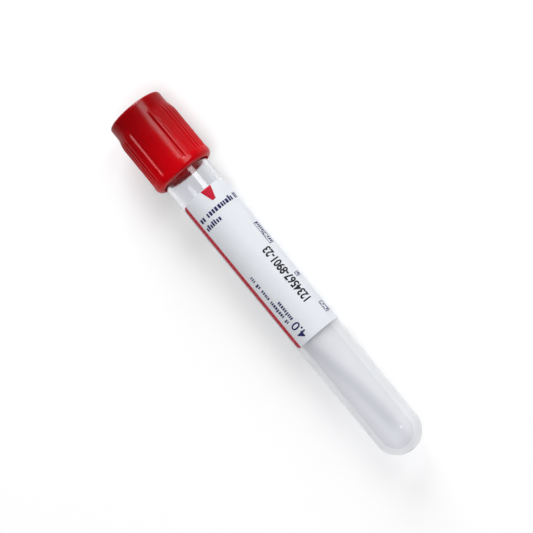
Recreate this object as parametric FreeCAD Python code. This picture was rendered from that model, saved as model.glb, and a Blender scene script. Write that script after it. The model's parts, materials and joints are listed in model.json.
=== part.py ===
"""Blood collection tube: clear plastic tube, rubber stopper, moulded safety shield and paper label.

Every piece is built upright, with the tube's axis on Z and the outside of its round bottom at z = 0.
The smooth sides of the shield face +X and -X, its ribbed lobes +Y and -Y. At the end all pieces are laid
down together on the plane z = 0, where the tube rests on its round bottom and on the shield's collar.
"""
import FreeCAD, Part
import math
import os

from FreeCAD import Vector

# ---- driving dimensions, in millimetres and degrees ----------------------------------------------

# tube
tube_length = 100.0             # from the outside of the round bottom to the rim
tube_rim_radius = 6.50          # outside, at the rim
tube_draft = 0.26               # how much narrower the tube is where its round bottom begins
tube_wall = 1.00
tube_bottom_wall = 1.20         # at the tip, on the axis
rim_round = 0.30
gate_scar_radius = 0.90         # shallow round scar that the moulding gate leaves at the tip
gate_scar_depth = 0.10

# closure as a whole
closure_height = 21.00
closure_overlap = 10.60         # length of tube that the closure's skirt covers
plug_clearance = 0.05           # radial, between the stopper's plug and the tube's bore
head_clearance = 0.10           # radial, between the stopper's head and the shield's skirt
neck_clearance = 0.05           # radial, between the stopper's neck and the shield's shelf
lip_clearance = 0.20            # radial, between the stopper's lip and its seat in the shield

# shield
skirt_wall = 0.90               # behind the smooth band round the top and the two smooth sides
band_height = 3.00
band_top_round = 0.70
ramp_height = 3.60              # over this the lobes rise out of the band
lobe_rise = 0.61                # from the band to the crests of the ribs
lobe_edge_round = 0.35
smooth_half_angle = 26.5        # half of the arc that each smooth side takes
rib_pitch_angle = 9.0
ribs_per_lobe = 12
rib_depth = 0.20
collar_height = 3.00
collar_lobe_rise = 0.74         # from the band to the oval collar, across the lobes
collar_smooth_rise = 0.30       # the same across the smooth sides
collar_tightening = 0.10        # how much tighter than half its smooth width the collar curves at its lobes
collar_edge_round = 1.00
collar_shoulder_round = 0.30
skirt_clearance = 0.40          # radial, between the tube's rim and the skirt's bore
skirt_lead_in = 0.15
shelf_thickness = 1.20          # inner ring that the stopper grips
shelf_hole_radius = 3.90
well_step = 0.40                # from the round seat of the stopper's lip to the wider opening above it
well_edge_round = 0.50

# stopper
plug_recess_from_skirt = 0.60   # the plug ends this far inside the skirt's lower edge
plug_edge_round = 0.40
plug_dish_radius = 3.00
plug_dish_depth = 2.00
head_height = 3.00
head_edge_round = 0.30
lip_overhang = 0.75             # how far the lip reaches past the neck, over the shelf
lip_height = 1.50
lip_edge_round = 0.45
needle_well_radius = 2.00
needle_well_mouth = 0.60        # how much wider the needle well's flared mouth is
needle_well_depth = 8.00

# label
label_below_skirt = 6.20        # clear tube between the label and the closure
label_height = 46.20
label_from_angle = -65.0        # counted from +X towards +Y
label_wrap_angle = 300.0        # the rest is a clear window
label_thickness = 0.10
label_skew = 1.2                # the label sits a little askew on the tube
glue_line = 0.02

# ---- sizes that follow ----------------------------------------------------------------------------

tube_foot_radius = tube_rim_radius - tube_draft
skirt_end = tube_length - closure_overlap
closure_top = skirt_end + closure_height
collar_top = skirt_end + collar_height
inside_collar = skirt_end + collar_height / 2   # where the core and the lobes start, within the collar
ramp_top = closure_top - band_height
ramp_foot = ramp_top - ramp_height
head_top = tube_length + head_height
shelf_top = head_top + shelf_thickness
lip_top = shelf_top + lip_height
skirt_radius = tube_rim_radius + skirt_clearance
band_radius = skirt_radius + skirt_wall
lobe_radius = band_radius + lobe_rise
rib_valley_radius = lobe_radius - rib_depth
collar_lobe_radius = band_radius + collar_lobe_rise
collar_smooth_radius = band_radius + collar_smooth_rise
collar_end_radius = collar_smooth_radius - collar_tightening
plug_end = skirt_end + plug_recess_from_skirt
head_radius = skirt_radius - head_clearance
neck_radius = shelf_hole_radius - neck_clearance
lip_radius = neck_radius + lip_overhang
lip_seat_radius = lip_radius + lip_clearance
well_radius = lip_seat_radius + well_step
label_start = skirt_end - label_below_skirt - label_height
lobe_half_angle = 90.0 - smooth_half_angle
cut_margin = 1.0                # how far cutting shapes reach past what they cut


def tube_radius(height):
    """Outside radius of the tube's wall, which widens evenly from its foot to its rim."""
    share = (height - tube_foot_radius) / (tube_length - tube_foot_radius)
    return tube_foot_radius + (tube_rim_radius - tube_foot_radius) * share


def bore_radius(height):
    return tube_radius(height) - tube_wall


def on_axis_plane(radius, height):
    return Vector(radius, 0, height)


def polar(radius, angle, height=0.0):
    return Vector(radius * math.cos(math.radians(angle)), radius * math.sin(math.radians(angle)), height)


def line(start, end):
    return Part.makeLine(start, end)


def arc(start, middle, end):
    return Part.Arc(start, middle, end).toShape()


def quarter(start, corner, end):
    """Quarter circle from start to end that rounds the square corner between them."""
    centre = start + end - corner
    middle = centre + (corner - centre).normalize() * (start - centre).Length
    return arc(start, middle, end)


def spin(edges, angle=360.0):
    """Solid of revolution about Z of a closed outline in the XZ plane."""
    face = Part.Face(Part.Wire(edges))
    return face.revolve(Vector(0, 0, 0), Vector(0, 0, 1), angle)


# ---- pieces ---------------------------------------------------------------------------------------

def make_tube():
    """Round-bottomed tube with a slight draft, a rounded rim and a gate scar at its tip."""
    rim_bore = tube_rim_radius - tube_wall
    foot_bore = tube_foot_radius - tube_wall
    bore_foot = tube_bottom_wall + foot_bore
    scar_edge = tube_foot_radius - math.sqrt(tube_foot_radius ** 2 - gate_scar_radius ** 2)
    scar_floor = scar_edge + gate_scar_depth
    slant = math.radians(45)
    bottom_middle = on_axis_plane(tube_foot_radius * math.sin(slant),
                                  tube_foot_radius * (1 - math.cos(slant)))
    bore_middle = on_axis_plane(foot_bore * math.sin(slant), bore_foot - foot_bore * math.cos(slant))
    rim_low = tube_length - rim_round
    outline = [
        on_axis_plane(0, scar_floor),
        on_axis_plane(gate_scar_radius - gate_scar_depth, scar_floor),
        on_axis_plane(gate_scar_radius, scar_edge),
        on_axis_plane(tube_foot_radius, tube_foot_radius),
        on_axis_plane(tube_rim_radius, rim_low),
        on_axis_plane(tube_rim_radius - rim_round, tube_length),
        on_axis_plane(rim_bore + rim_round, tube_length),
        on_axis_plane(rim_bore, rim_low),
        on_axis_plane(foot_bore, bore_foot),
        on_axis_plane(0, tube_bottom_wall),
    ]
    edges = [
        line(outline[0], outline[1]),
        line(outline[1], outline[2]),
        arc(outline[2], bottom_middle, outline[3]),
        line(outline[3], outline[4]),
        quarter(outline[4], on_axis_plane(tube_rim_radius, tube_length), outline[5]),
        line(outline[5], outline[6]),
        quarter(outline[6], on_axis_plane(rim_bore, tube_length), outline[7]),
        line(outline[7], outline[8]),
        arc(outline[8], bore_middle, outline[9]),
        line(outline[9], outline[0]),
    ]
    return spin(edges)


def make_stopper():
    """Plug, head on the rim, neck through the shelf and lip above it, in one piece of rubber."""
    plug_top_radius = bore_radius(tube_length) - plug_clearance
    plug_end_radius = bore_radius(plug_end) - plug_clearance
    round_top = plug_end + plug_edge_round
    round_top_radius = bore_radius(round_top) - plug_clearance
    dish_middle = on_axis_plane(plug_dish_radius * 0.6, plug_end + plug_dish_depth * 0.8)
    dish_top = on_axis_plane(0, plug_end + plug_dish_depth)
    well_floor = lip_top - needle_well_depth
    well_low = well_floor + needle_well_radius
    well_side = needle_well_radius * math.sqrt(0.5)
    edges = [
        arc(dish_top, dish_middle, on_axis_plane(plug_dish_radius, plug_end)),
        line(on_axis_plane(plug_dish_radius, plug_end),
             on_axis_plane(plug_end_radius - plug_edge_round, plug_end)),
        line(on_axis_plane(plug_end_radius - plug_edge_round, plug_end),
             on_axis_plane(round_top_radius, round_top)),
        line(on_axis_plane(round_top_radius, round_top), on_axis_plane(plug_top_radius, tube_length)),
        line(on_axis_plane(plug_top_radius, tube_length),
             on_axis_plane(head_radius - head_edge_round, tube_length)),
        quarter(on_axis_plane(head_radius - head_edge_round, tube_length),
                on_axis_plane(head_radius, tube_length),
                on_axis_plane(head_radius, tube_length + head_edge_round)),
        line(on_axis_plane(head_radius, tube_length + head_edge_round),
             on_axis_plane(head_radius, head_top - head_edge_round)),
        quarter(on_axis_plane(head_radius, head_top - head_edge_round),
                on_axis_plane(head_radius, head_top),
                on_axis_plane(head_radius - head_edge_round, head_top)),
        line(on_axis_plane(head_radius - head_edge_round, head_top), on_axis_plane(neck_radius, head_top)),
        line(on_axis_plane(neck_radius, head_top), on_axis_plane(neck_radius, shelf_top)),
        line(on_axis_plane(neck_radius, shelf_top), on_axis_plane(lip_radius, shelf_top)),
        line(on_axis_plane(lip_radius, shelf_top), on_axis_plane(lip_radius, lip_top - lip_edge_round)),
        quarter(on_axis_plane(lip_radius, lip_top - lip_edge_round),
                on_axis_plane(lip_radius, lip_top),
                on_axis_plane(lip_radius - lip_edge_round, lip_top)),
        line(on_axis_plane(lip_radius - lip_edge_round, lip_top),
             on_axis_plane(needle_well_radius + needle_well_mouth, lip_top)),
        line(on_axis_plane(needle_well_radius + needle_well_mouth, lip_top),
             on_axis_plane(needle_well_radius, lip_top - needle_well_mouth)),
        line(on_axis_plane(needle_well_radius, lip_top - needle_well_mouth),
             on_axis_plane(needle_well_radius, well_low)),
        arc(on_axis_plane(needle_well_radius, well_low),
            on_axis_plane(well_side, well_low - well_side),
            on_axis_plane(0, well_floor)),
        line(on_axis_plane(0, well_floor), dish_top),
    ]
    return spin(edges)


def make_shield_core():
    """The shield without its lobes and collar: a round cap with its band, solid inside."""
    band_low = closure_top - band_top_round
    edges = [
        line(on_axis_plane(0, inside_collar), on_axis_plane(band_radius, inside_collar)),
        line(on_axis_plane(band_radius, inside_collar), on_axis_plane(band_radius, band_low)),
        quarter(on_axis_plane(band_radius, band_low), on_axis_plane(band_radius, closure_top),
                on_axis_plane(band_radius - band_top_round, closure_top)),
        line(on_axis_plane(band_radius - band_top_round, closure_top), on_axis_plane(0, closure_top)),
        line(on_axis_plane(0, closure_top), on_axis_plane(0, inside_collar)),
    ]
    return spin(edges)


def make_lobe():
    """The lobe towards +Y: a sector as deep as the lobes stand, with upright ribs on its outside."""
    ribbed_half_angle = ribs_per_lobe * rib_pitch_angle / 2
    root_radius = skirt_radius + lobe_edge_round
    base = inside_collar
    edges = []
    for rib in range(ribs_per_lobe):
        start = 90 - ribbed_half_angle + rib * rib_pitch_angle
        edges.append(arc(polar(rib_valley_radius, start, base),
                         polar(lobe_radius, start + rib_pitch_angle / 2, base),
                         polar(rib_valley_radius, start + rib_pitch_angle, base)))
    for side in (-1, 1):
        plain_from = 90 + side * ribbed_half_angle
        plain_to = 90 + side * lobe_half_angle
        round_angle = side * math.degrees(lobe_edge_round / rib_valley_radius)
        edge_corner = polar(rib_valley_radius - lobe_edge_round * 0.29, plain_to - round_angle * 0.29, base)
        edges.append(arc(polar(rib_valley_radius, plain_from, base),
                         polar(rib_valley_radius, (plain_from + plain_to - round_angle) / 2, base),
                         polar(rib_valley_radius, plain_to - round_angle, base)))
        edges.append(arc(polar(rib_valley_radius, plain_to - round_angle, base), edge_corner,
                         polar(rib_valley_radius - lobe_edge_round, plain_to, base)))
        edges.append(line(polar(rib_valley_radius - lobe_edge_round, plain_to, base),
                          polar(root_radius, plain_to, base)))
    edges.append(arc(polar(root_radius, 90 - lobe_half_angle, base), polar(root_radius, 90, base),
                     polar(root_radius, 90 + lobe_half_angle, base)))
    outline = Part.Wire(Part.__sortEdges__(edges))
    return Part.Face(outline).extrude(Vector(0, 0, ramp_top - base))


def make_ramp_cutter():
    """Ring that trims the lobes' upper ends, so that they rise out of the band in a soft S."""
    middle = on_axis_plane((band_radius + lobe_radius) / 2, (ramp_top + ramp_foot) / 2)
    swing = (lobe_radius - band_radius) / 8
    quarter_height = ramp_height / 4
    outer = lobe_radius + cut_margin
    edges = [
        arc(on_axis_plane(band_radius, ramp_top),
            on_axis_plane(band_radius + swing, ramp_top - quarter_height), middle),
        arc(middle, on_axis_plane(lobe_radius - swing, ramp_foot + quarter_height),
            on_axis_plane(lobe_radius, ramp_foot)),
        line(on_axis_plane(lobe_radius, ramp_foot), on_axis_plane(outer, ramp_foot)),
        line(on_axis_plane(outer, ramp_foot), on_axis_plane(outer, ramp_top + cut_margin)),
        line(on_axis_plane(outer, ramp_top + cut_margin), on_axis_plane(band_radius, ramp_top + cut_margin)),
        line(on_axis_plane(band_radius, ramp_top + cut_margin), on_axis_plane(band_radius, ramp_top)),
    ]
    return spin(edges)


def make_collar():
    """Oval ring of four tangent arcs: flatter on the smooth sides, so that the tube doesn't roll."""
    end_shift = collar_lobe_radius - collar_end_radius
    side_step = collar_smooth_radius - collar_end_radius
    side_shift = (end_shift ** 2 - side_step ** 2) / (2 * side_step)
    side_radius = collar_smooth_radius + side_shift
    junction = math.atan2(end_shift, side_shift)
    join_x = side_radius * math.cos(junction) - side_shift
    join_y = side_radius * math.sin(junction)
    joins = [Vector(join_x, join_y, skirt_end), Vector(-join_x, join_y, skirt_end),
             Vector(-join_x, -join_y, skirt_end), Vector(join_x, -join_y, skirt_end)]
    middles = [Vector(0, collar_lobe_radius, skirt_end), Vector(-collar_smooth_radius, 0, skirt_end),
               Vector(0, -collar_lobe_radius, skirt_end), Vector(collar_smooth_radius, 0, skirt_end)]
    edges = [arc(joins[turn], middles[turn], joins[(turn + 1) % 4]) for turn in range(4)]
    ring = Part.Face(Part.Wire(edges)).extrude(Vector(0, 0, collar_height))
    for height, rounding in ((skirt_end, collar_edge_round), (collar_top, collar_shoulder_round)):
        around = [edge for edge in ring.Edges
                  if all(abs(corner.Z - height) < 1e-6 for corner in edge.Vertexes)]
        ring = ring.makeFillet(rounding, around)
    return ring


def make_shield_cavity():
    """Everything that is open inside the shield: skirt bore, hole in the shelf and needle opening."""
    edges = [
        line(on_axis_plane(0, skirt_end - cut_margin),
             on_axis_plane(skirt_radius + skirt_lead_in, skirt_end - cut_margin)),
        line(on_axis_plane(skirt_radius + skirt_lead_in, skirt_end - cut_margin),
             on_axis_plane(skirt_radius + skirt_lead_in, skirt_end)),
        line(on_axis_plane(skirt_radius + skirt_lead_in, skirt_end),
             on_axis_plane(skirt_radius, skirt_end + collar_edge_round)),
        line(on_axis_plane(skirt_radius, skirt_end + collar_edge_round),
             on_axis_plane(skirt_radius, head_top)),
        line(on_axis_plane(skirt_radius, head_top), on_axis_plane(shelf_hole_radius, head_top)),
        line(on_axis_plane(shelf_hole_radius, head_top), on_axis_plane(shelf_hole_radius, shelf_top)),
        line(on_axis_plane(shelf_hole_radius, shelf_top), on_axis_plane(lip_seat_radius, shelf_top)),
        line(on_axis_plane(lip_seat_radius, shelf_top), on_axis_plane(lip_seat_radius, lip_top)),
        line(on_axis_plane(lip_seat_radius, lip_top), on_axis_plane(well_radius, lip_top)),
        line(on_axis_plane(well_radius, lip_top),
             on_axis_plane(well_radius, closure_top - well_edge_round)),
        arc(on_axis_plane(well_radius, closure_top - well_edge_round),
            on_axis_plane(well_radius + well_edge_round * (1 - math.sqrt(0.5)),
                          closure_top - well_edge_round * (1 - math.sqrt(0.5))),
            on_axis_plane(well_radius + well_edge_round, closure_top)),
        line(on_axis_plane(well_radius + well_edge_round, closure_top),
             on_axis_plane(well_radius + well_edge_round, closure_top + cut_margin)),
        line(on_axis_plane(well_radius + well_edge_round, closure_top + cut_margin),
             on_axis_plane(0, closure_top + cut_margin)),
        line(on_axis_plane(0, closure_top + cut_margin), on_axis_plane(0, skirt_end - cut_margin)),
    ]
    return spin(edges)


def make_shield():
    lobe = make_lobe()
    other_lobe = lobe.copy()
    other_lobe.rotate(Vector(0, 0, 0), Vector(0, 0, 1), 180)
    lobes = lobe.fuse(other_lobe).cut(make_ramp_cutter())
    shield = make_shield_core().fuse([lobes, make_collar()])
    return shield.cut(make_shield_cavity()).removeSplitter()


def make_label():
    """Paper shell glued round the tube's wall, open over the window, with both ends cut askew."""
    inner_gap = glue_line
    outer_gap = glue_line + label_thickness
    slope_reach = tube_rim_radius * math.tan(math.radians(label_skew)) + cut_margin
    low = label_start - slope_reach
    high = label_start + label_height + slope_reach
    corners = [
        on_axis_plane(tube_radius(low) + inner_gap, low),
        on_axis_plane(tube_radius(low) + outer_gap, low),
        on_axis_plane(tube_radius(high) + outer_gap, high),
        on_axis_plane(tube_radius(high) + inner_gap, high),
    ]
    edges = [line(corners[turn], corners[(turn + 1) % 4]) for turn in range(4)]
    shell = spin(edges, label_wrap_angle)
    shell.rotate(Vector(0, 0, 0), Vector(0, 0, 1), label_from_angle)
    slab_width = 4 * tube_rim_radius
    slab = Part.makeBox(slab_width, slab_width, label_height,
                        Vector(-slab_width / 2, -slab_width / 2, label_start))
    slab.rotate(Vector(0, 0, label_start + label_height / 2), Vector(1, 0, 0), label_skew)
    return shell.common(slab)


# ---- laying the tube down -------------------------------------------------------------------------

def resting_tilt():
    """Angle at which the round bottom and the collar's rounded edge both touch the floor."""
    run = skirt_end + collar_edge_round - tube_foot_radius
    drop = collar_smooth_radius - collar_edge_round
    reach = math.hypot(run, drop)
    return math.degrees(math.atan2(drop, run) - math.asin((tube_foot_radius - collar_edge_round) / reach))


def lay_down(shapes):
    """Turns the upright pieces onto the floor, closure towards -X, over the origin's middle."""
    bottom_centre = Vector(0, 0, tube_foot_radius)
    turn = FreeCAD.Rotation(Vector(0, 1, 0), resting_tilt() - 90)
    lift = tube_foot_radius - turn.multVec(bottom_centre).z
    laid = FreeCAD.Placement(Vector(0, 0, lift), turn)
    for shape in shapes.values():
        shape.Placement = laid.multiply(shape.Placement)
    box = Part.Compound(list(shapes.values())).optimalBoundingBox(False)
    for shape in shapes.values():
        shape.translate(Vector(-(box.XMin + box.XMax) / 2, 0, 0))


pieces = {
    "tube": make_tube(),
    "rubber_stopper": make_stopper(),
    "safety_shield": make_shield(),
    "label": make_label(),
}
lay_down(pieces)
os.makedirs("parts", exist_ok=True)
for name, shape in pieces.items():
    shape.exportStep("parts/" + name + ".step")
    print(name, len(shape.Solids), "solid", round(shape.Volume, 2), "mm3", shape.isValid())
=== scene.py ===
"""A blood collection tube that lies on its side: clear tube, stopper, shield, label and the label's print.

Every piece is worked out upright and is then laid down into the frame. Heights run from the tip. Angles run
from the middle of the closure's smooth side, which faces up, towards +Y, where the ribs are.
"""

import json
import math

import bmesh
import bpy
import numpy as np
from bpy.props import FloatProperty, FloatVectorProperty, PointerProperty, StringProperty
from mathutils import Matrix


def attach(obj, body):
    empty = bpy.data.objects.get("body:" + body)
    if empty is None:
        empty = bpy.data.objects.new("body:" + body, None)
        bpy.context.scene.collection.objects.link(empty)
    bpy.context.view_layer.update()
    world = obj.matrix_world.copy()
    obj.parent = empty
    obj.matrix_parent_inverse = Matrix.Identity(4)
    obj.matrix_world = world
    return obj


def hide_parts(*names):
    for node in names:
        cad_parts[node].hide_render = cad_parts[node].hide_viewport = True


bl_info = {
    "name": "Blood Collection Tube",
    "version": (1, 0, 0),
    "blender": (4, 5, 0),
    "location": "View3D > Sidebar > Lab Tube",
    "description": "Builds a clear tube with its closure, label and stage",
    "category": "Add Mesh",
}

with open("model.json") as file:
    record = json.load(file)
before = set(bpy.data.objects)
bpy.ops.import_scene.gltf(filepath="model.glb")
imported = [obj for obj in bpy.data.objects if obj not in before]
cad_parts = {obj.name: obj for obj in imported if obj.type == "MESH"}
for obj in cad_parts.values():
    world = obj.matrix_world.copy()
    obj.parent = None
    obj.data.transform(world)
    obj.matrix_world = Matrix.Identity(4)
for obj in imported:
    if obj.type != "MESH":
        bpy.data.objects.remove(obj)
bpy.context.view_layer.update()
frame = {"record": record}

MM = 0.001
PORT_HEIGHT = 107.8 * MM  # of the middle of the closure's opening, above the tip

port = next(m for m in frame["record"]["mounts"] if m["name"] == "needle_port")
CAPWARD = np.array(port["axis"]) / np.linalg.norm(port["axis"])
SIDEWAYS = np.array([0.0, 1.0, 0.0])
UPWARD = np.cross(SIDEWAYS, CAPWARD)
TIP = np.array(port["pos_m"]) - CAPWARD * PORT_HEIGHT


# -------- colours and settings


def linear(code):
    """An sRGB hex colour as linear red, green, blue and alpha."""
    value = np.array([int(code[i : i + 2], 16) for i in (1, 3, 5)]) / 255
    value = np.where(value <= 0.04045, value / 12.92, ((value + 0.055) / 1.055) ** 2.4)
    return (*value.tolist(), 1.0)


def size(name, millimetres, description):
    return FloatProperty(name=name, description=description, default=millimetres * MM, min=0.0, precision=6,
                         subtype="DISTANCE", unit="LENGTH")


def turn(name, degrees, description):
    return FloatProperty(name=name, description=description, default=math.radians(degrees), subtype="ANGLE",
                         unit="ROTATION")


def amount(name, value, description, low=0.0, high=1.0):
    return FloatProperty(name=name, description=description, default=value, min=low, max=high)


def tint(name, code, description):
    return FloatVectorProperty(name=name, description=description, default=linear(code), min=0.0, max=1.0,
                               size=4, subtype="COLOR")


class TubeSettings(bpy.types.PropertyGroup):
    length: size("Length", 100.0, "From the tip to the rim")
    rim_radius: size("Rim radius", 6.50, "Outer radius at the open end")
    foot_radius: size("Foot radius", 6.24, "Outer radius over the round bottom")
    wall: size("Wall", 1.00, "Thickness of the side wall")
    bottom_wall: size("Bottom wall", 1.20, "Thickness at the tip")
    rim_round: size("Rim round", 0.30, "Radius of the rim's two edges")
    gate_radius: size("Gate scar", 0.90, "Radius of the gate's flat mark at the tip")
    gate_depth: size("Gate depth", 0.10, "Depth of the gate's mark")
    groove_depth: size("Groove depth", 0.10, "Depth of the mould's parting groove")
    plastic: tint("Plastic", "#ECEEF1", "Colour of the clear plastic")
    coating: tint("Coating", "#F0F0F4", "Colour of the dried coating")
    # painted light and shadow on the coated inner wall: a lighter colour on one side and a grey band along
    # the wall stand in for how the lamps light and shade it
    painted_light_colour: tint("Bloom", "#F9F9FB", "Its colour where it dried thickest")
    painted_shadow_colour: tint("Streak", "#D7D7DC", "Its colour where it ran along the wall")
    coated_to: size("Coated to", 78.0, "Height that the coating reaches")
    haze: amount("Haze", 0.40, "Share of the light that the coating scatters")


class StopperSettings(bpy.types.PropertyGroup):
    plug_end: size("Plug end", 90.0, "Height of the plug's inner end")
    plug_gap: size("Plug gap", 0.05, "Between the plug and the tube's bore")
    head_radius: size("Head radius", 6.80, "Radius of the head on the rim")
    head_top: size("Head top", 103.0, "Height of the head's upper face")
    neck_height: size("Neck height", 1.20, "Length of the neck, and thickness of the shelf")
    neck_radius: size("Neck radius", 3.85, "Radius of the neck in the shield's shelf")
    lip_radius: size("Lip radius", 4.60, "Radius of the lip over the shelf")
    lip_top: size("Lip top", 105.7, "Height of the lip's upper face")
    well_radius: size("Well radius", 2.00, "Radius of the needle's well")
    well_floor: size("Well floor", 97.7, "Height of the diaphragm under the well")
    # painted glow: this red is brighter than the rubber's own, standing in for red light that gets through
    # the shield onto the plug
    rubber: tint("Rubber", "#DC141C", "Colour of the butyl rubber")


class ShieldSettings(bpy.types.PropertyGroup):
    top: size("Top", 110.4, "Height of the closure's top")
    skirt_end: size("Skirt end", 89.4, "Height of the skirt's open end")
    skirt_radius: size("Skirt radius", 6.90, "Inner radius of the skirt")
    band_radius: size("Band radius", 7.80, "Outer radius of the band and the smooth sides")
    top_round: size("Top round", 0.70, "Radius of the top's outer edge")
    ramp_top: size("Ramp top", 107.4, "Height where the lobes start to rise")
    ramp_foot: size("Ramp foot", 103.8, "Height where the lobes have their full depth")
    valley_radius: size("Valley radius", 8.22, "Radius of the lobes between their ribs")
    rib_depth: size("Rib depth", 0.19, "How far the ribs stand out of the lobes")
    rib_pitch: turn("Rib pitch", 9.0, "Angle from one rib to the next")
    smooth_half_angle: turn("Smooth half angle", 26.3, "From the middle of a smooth side to its edge")
    dip: size("Dip", 0.10, "How far a smooth side drops at its edges")
    lobe_round: size("Lobe edge", 0.50, "Width of the slope at the lobes' long edges")
    collar_top: size("Collar top", 92.3, "Height where the lobes start to swell into the collar")
    collar_lobe_radius: size("Collar radius, lobes", 8.54, "Collar's radius across the lobes")
    collar_smooth_radius: size("Collar radius, smooth", 8.10, "Collar's radius across the smooth sides")
    collar_rise: size("Collar rise", 0.10, "How far the collar's flat arcs stand over its tight arcs")
    collar_shoulder: size("Collar shoulder", 1.10, "Height of the collar's round shoulder")
    collar_round: size("Collar round", 1.70, "Height of its round lower edge at the lobes")
    lead_in: size("Lead-in", 0.12, "How much wider the skirt is at its open end")
    opening_radius: size("Opening radius", 5.20, "Radius of the opening in the top")
    # painted shade and glow: the top is given a darker red and the skirt a brighter red, standing in for the
    # light that gets through the thin skirt
    painted_shade_top_red: tint("Red at the top", "#8E0208", "Colour of the thick top")
    painted_glow_skirt_red: tint("Red of the skirt", "#C4000C", "Colour of the thin skirt")


class LabelSettings(bpy.types.PropertyGroup):
    low: size("Low edge", 37.0, "Height of the edge nearer the tip")
    high: size("High edge", 82.5, "Height of the edge nearer the closure")
    start: turn("Start", -65.0, "Angle of the edge with the red line")
    end: turn("End", 235.0, "Angle of the other edge")
    skew: turn("Skew", 1.2, "How far the label is out of square")
    corner: size("Corner", 1.60, "Radius of the label's corners")
    glue: size("Glue", 0.02, "Gap under the paper, filled with glue")
    paper: size("Paper", 0.10, "Thickness of the paper")
    white: tint("Paper colour", "#E4E8EF", "Colour of the coated paper")


class PrintSettings(bpy.types.PropertyGroup):
    digits: StringProperty(name="Digits", description="Plain running number", default="1234567-8901-23")
    number: StringProperty(name="Number", description="Plain capacity number", default="4.0")
    red: tint("Red ink", "#BC0C2C", "Edge line and arrow")
    navy: tint("Navy ink", "#2A2560", "Rows of bars")
    black: tint("Black ink", "#1C1C22", "Digits")
    film: size("Film", 0.02, "Thickness of the ink, partly sunk into the paper")
    proud: size("Proud", 0.012, "How far the ink stands over the paper")


class StageSettings(bpy.types.PropertyGroup):
    floor: tint("Floor", "#FDFDFE", "Colour of the floor and backdrop")
    key: amount("Key light", 6.6, "Brightness of the softbox", 0.0, 20.0)
    side: amount("Side light", 3.4, "Brightness of the softbox beside the tube", 0.0, 20.0)
    fill: amount("Fill light", 4.5, "Brightness of the overhead sheet", 0.0, 20.0)
    sky: amount("Ambient light", 0.20, "Brightness of the room", 0.0, 5.0)
    lens: size("Lens", 124.4, "Focal length of the camera")


# -------- surfaces


def laid_down(angle, radius, height):
    """Points of the upright tube, given round and along its axis, as places in the frame."""
    angle, radius, height = np.broadcast_arrays(angle, radius, height)
    across, side = radius * np.cos(angle), radius * np.sin(angle)
    return TIP + across[..., None] * UPWARD + side[..., None] * SIDEWAYS + height[..., None] * CAPWARD


def unit(vectors):
    return vectors / np.linalg.norm(vectors, axis=-1, keepdims=True)


def rounded(corners, radii, steps=7):
    """A profile through the corners with each one rounded, apart from the two ends. The points of an arc come
    from turning its first radius evenly into its last."""
    corners, radii = np.array(corners), np.array(radii)[:, None]
    into, out = unit(corners[1:-1] - corners[:-2]), unit(corners[2:] - corners[1:-1])
    bend = np.arccos(np.clip((into * out).sum(1), -1, 1))[:, None]
    centre = corners[1:-1] + unit(out - into) * radii / np.cos(bend / 2)
    first = (corners[1:-1] - into * radii * np.tan(bend / 2) - centre)[:, None]
    last = (corners[1:-1] + out * radii * np.tan(bend / 2) - centre)[:, None]
    share, bend = np.linspace(0, 1, steps)[None, :, None], bend[:, None]
    arcs = (first * np.sin((1 - share) * bend) + last * np.sin(share * bend)) / np.sin(bend) + centre[:, None]
    return np.vstack([corners[:1], arcs.reshape(-1, 2), corners[-1:]])


def stepped(profile, step):
    """The same profile with points put evenly into each run that is longer than the step."""
    run = np.linalg.norm(np.diff(profile, axis=0), axis=1)
    parts = np.maximum(np.ceil(run / step), 1).astype(int)
    first = np.repeat(np.arange(len(run)), parts)
    share = (np.arange(parts.sum()) - np.repeat(np.cumsum(parts) - parts, parts)) / parts[first]
    return np.vstack([profile[first] + np.diff(profile, axis=0)[first] * share[:, None], profile[-1:]])


def quads(number):
    """The four-sided faces of a grid of point numbers, or of several grids."""
    low, high = slice(None, -1), slice(1, None)
    turns = (low, low), (low, high), (high, high), (high, low)
    return np.stack([number[..., row, column] for row, column in turns], -1).reshape(-1, 4)


def numbered(shape):
    return np.arange(math.prod(shape)).reshape(shape)


def mesh_of(name, corners, points, slots=None):
    """Mesh whose faces are rows of four point numbers. Two numbers that are the same make a triangle, and
    points that no face uses are left out."""
    kept = corners != np.roll(corners, -1, axis=1)
    used, loops = np.unique(corners[kept], return_inverse=True)
    counts = kept.sum(1)
    mesh = bpy.data.meshes.new(name)
    mesh.vertices.add(len(used))
    mesh.vertices.foreach_set("co", points.reshape(-1, 3)[used].ravel())
    mesh.loops.add(len(loops))
    mesh.loops.foreach_set("vertex_index", loops.astype(np.int32).ravel())
    mesh.polygons.add(len(counts))
    mesh.polygons.foreach_set("loop_start", (np.cumsum(counts) - counts).astype(np.int32))
    mesh.polygons.foreach_set("use_smooth", np.ones(len(counts), bool))
    if slots is not None:
        mesh.polygons.foreach_set("material_index", np.asarray(slots, np.int32))
    mesh.update(calc_edges=True)
    if mesh.validate():
        raise RuntimeError(f"{name}: the surface had faces that don't hold together")
    return mesh


def closed_surface(name, points, ring=False, slots=None):
    """Closed skin through a grid of points. Columns join up, and so do rows if it is a ring, else the first
    and last row are each one point. Faces are turned outwards if the volume that they enclose comes out
    negative. The material slots are given by row or by column."""
    number, columns = numbered(points.shape[:2]), points.shape[1]
    if ring:
        number = np.vstack([number, number[:1]])
    else:
        number[0], number[-1] = number[0, 0], number[-1, 0]
    number = np.hstack([number, number[:, :1]])
    corners = quads(number)
    a, b, c, d = np.moveaxis(points.reshape(-1, 3)[corners], 1, 0)
    if (a * (np.cross(b, c) + np.cross(c, d))).sum() < 0:
        corners = corners[:, ::-1]
    if slots is not None:
        by_column = len(slots) == columns
        slots = np.tile(slots, len(corners) // columns) if by_column else np.repeat(slots, columns)
    return mesh_of(name, corners, points, slots)


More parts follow.
